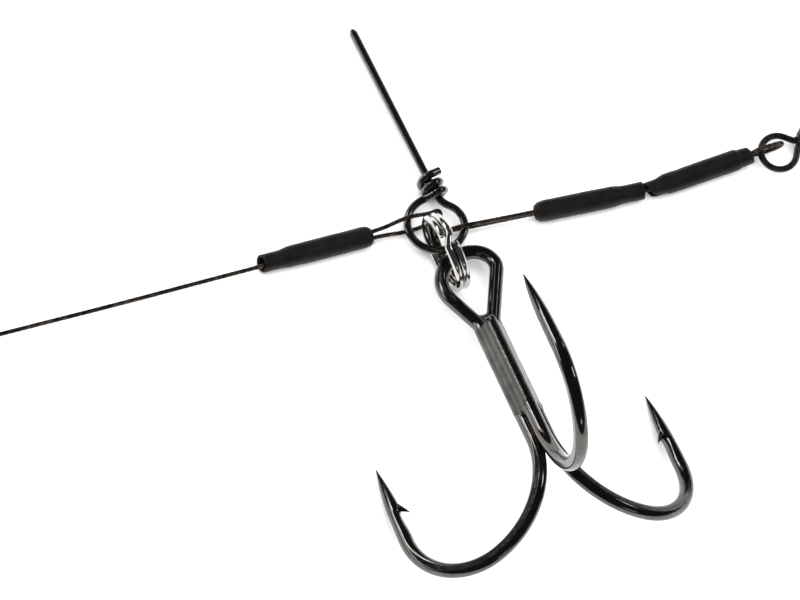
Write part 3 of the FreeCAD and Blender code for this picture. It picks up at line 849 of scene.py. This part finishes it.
def residue(angle, height):
    """A lumpy blob where the solder froze, on the right near the lower end."""
    apart = apart_round(angle, math.radians(350))
    near = math.exp(-((apart / 0.42) ** 2) - ((height - 2.75) / 0.5) ** 2)
    lumps = noise.noise(Vector((math.cos(angle), math.sin(angle), height)) * 5.5)
    return near * (0.07 + 0.09 * lumps)


def crotch_web(shape):
    """A saddle of solder between the eye's two legs, with a hollow top."""
    rings = []
    steps = 28
    sides = 28
    low = 12.0
    for step in range(steps + 1):
        across = -0.85 + 1.7 * step / steps
        high = 13.5 + 0.9 * across**2
        thick = 0.5 + 0.12 * across**2
        places = []
        for index in range(sides):
            angle = 2 * math.pi * index / sides
            lift = (high - low) / 2 * math.sin(angle)
            uneven = 1 + 0.05 * noise.noise(Vector((across * 3, angle, 4.0)))
            out = thick * math.cos(angle) * uneven
            places.append(Vector((across, 0.367 + out, (high + low) / 2 + lift)))
        rings.append(shape.ring(places))
    shape.skin(rings)


def bundle_reach(angle):
    """How far out the three shanks reach at an angle round their middle."""
    out = 0.0
    for shank in (30, 150, 270):
        off = angle - math.radians(shank)
        across = BUNDLE_RADIUS * math.sin(off)
        if abs(across) < HOOK_RADIUS and math.cos(off) > 0:
            reach = BUNDLE_RADIUS * math.cos(off) + math.sqrt(HOOK_RADIUS**2 - across**2)
            out = max(out, reach)
    return out


def braze_size(angle, height):
    """The braze's reach: over the shanks between its ragged ends, and hidden in them past these."""
    out = bundle_reach(angle)
    flow = Vector((math.cos(angle) * 1.3, math.sin(angle) * 1.3, height * 0.5))
    ragged = 0.55 * noise.noise(flow * 1.7 + Vector((7, 0, 0)))
    inside = smooth(height, 1.75 + ragged, 2.5 + ragged) * (
        1 - smooth(height, 11.75 - ragged, 12.3 - ragged)
    )
    filler = 0.985 + 0.03 * noise.noise(flow)
    soft = math.log(math.exp(out * FILLER_BLEND) + math.exp(filler * FILLER_BLEND)) / FILLER_BLEND
    skin = soft + 0.012 + 0.01 * noise.noise(flow * 2.3)
    size = min(out, 0.98) * 0.9 * (1 - inside) + skin * inside
    return size + residue(angle, height)


braze_shape = Shape()
braze_rings = []
for step in range(BRAZE_STEPS + 1):
    height = BRAZE_BOTTOM + (BRAZE_TOP - BRAZE_BOTTOM) * step / BRAZE_STEPS
    places = []
    for index in range(BRAZE_SIDES):
        angle = 2 * math.pi * index / BRAZE_SIDES
        spoke = Vector((math.cos(angle), math.sin(angle), 0))
        places.append(spoke * braze_size(angle, height) + Z_AXIS * height)
    braze_rings.append(braze_shape.ring(places))
braze_shape.skin(braze_rings)
crotch_web(braze_shape)
treble_piece("shank_braze_skin", braze_shape, "shank_braze", "shank_braze")

# ---------------------------------------------------------------- split ring

RING_CENTRE = joint_point("treble_on_ring")
RING_NORMAL = -joint_axis("treble_on_ring")
RING_RADIUS = 3.2 * MM
RING_WIRE = 0.34 * MM
RING_LAYER = 0.33 * MM
RING_TOP = (Z_AXIS - RING_NORMAL * Z_AXIS.z * RING_NORMAL.z).normalized()
RING_SIDE = RING_NORMAL.cross(RING_TOP)
RING_START = math.radians(8)
RING_TURN = 4 * math.pi - 2 * RING_START
CROSSING_DEGREES = (338, 366)
RING_STEPS = 400
ring_points = []
for step in range(RING_STEPS + 1):
    turned = RING_TURN * step / RING_STEPS
    angle = RING_START + turned
    crossing = smooth(math.degrees(turned), *CROSSING_DEGREES)
    layer = RING_LAYER * (1 - 2 * crossing)
    spoke = RING_TOP * math.cos(angle) + RING_SIDE * math.sin(angle)
    ring_points.append(RING_CENTRE + spoke * RING_RADIUS + RING_NORMAL * layer)


def ring_section(index, angle):
    """A round wire pressed a little flat where the two turns meet, with chamfered cut ends."""
    end = min(index, RING_STEPS - index)
    chamfer = 0.82 + 0.18 * smooth(end, -0.5, 3.0)
    return RING_WIRE * chamfer * (1 - 0.03 * abs(math.cos(angle)) ** 6)


ring_shape = Shape()
ring_shape.tube(ring_points, ring_section, 32, up=RING_NORMAL)
new_piece(
    "split_ring_coil", ring_shape.points, ring_shape.faces, "ring_chrome", "ring", ["split_ring"]
)

# ---------------------------------------------------------------- stage

FLOOR_SIZE = 1.6
FLOOR_DROP = 0.02 * MM
floor_mesh = bpy.data.meshes.new("floor")
half = FLOOR_SIZE / 2
floor_mesh.from_pydata(
    [(-half, -half, 0), (half, -half, 0), (half, half, 0), (-half, half, 0)], [], [(0, 1, 2, 3)]
)
floor = bpy.data.objects.new("floor", floor_mesh)
floor.location.z = -FLOOR_DROP
bpy.context.scene.collection.objects.link(floor)
floor_look = Look("studio_floor", (0.9, 0.9, 0.9), 0.0, 0.7)
floor_look.shader.inputs["Specular IOR Level"].default_value = 0.1
floor_mesh.materials.append(floor_look.material)

world = bpy.data.worlds.new("studio")
bpy.context.scene.world = world
world.use_nodes = True
world.node_tree.nodes["Background"].inputs["Color"].default_value = (0.9, 0.95, 1.0, 1)
world.node_tree.nodes["Background"].inputs["Strength"].default_value = 0.06


LIGHT_TARGET = Vector((0, 0, 0))


def soft_box(name, place, width, height, glow, seen=True):
    """An area light on the target.  glow: its brightness.  seen: whether reflections show it."""
    light = bpy.data.lights.new(name, "AREA")
    light.shape = "RECTANGLE"
    light.size = width
    light.size_y = height
    light.energy = glow * math.pi * width * height
    holder = bpy.data.objects.new(name, light)
    holder.location = place
    holder.rotation_euler = (LIGHT_TARGET - Vector(place)).to_track_quat("-Z", "Y").to_euler()
    holder.visible_glossy = seen
    bpy.context.scene.collection.objects.link(holder)


soft_box("top_fill", (0.0, 0.0, 0.9), 1.3, 1.3, 4.6, seen=False)
soft_box("left_box", (-0.5, 0.32, 0.16), 0.3, 0.1, 4.5)
soft_box("right_box", (0.5, 0.42, 0.3), 0.06, 0.12, 3.5)
soft_box("front_box", (0.05, -0.6, 0.22), 0.2, 0.06, 2.5)
soft_box("back_box", (-0.1, 0.6, 0.3), 0.16, 0.06, 2.0)
soft_box("left_spark", (-0.3, 0.5, 0.3), 0.16, 0.12, 9.0)
soft_box("right_spark", (0.42, 0.02, 0.36), 0.1, 0.08, 10.0)

bpy.context.scene.view_settings.view_transform = "Standard"
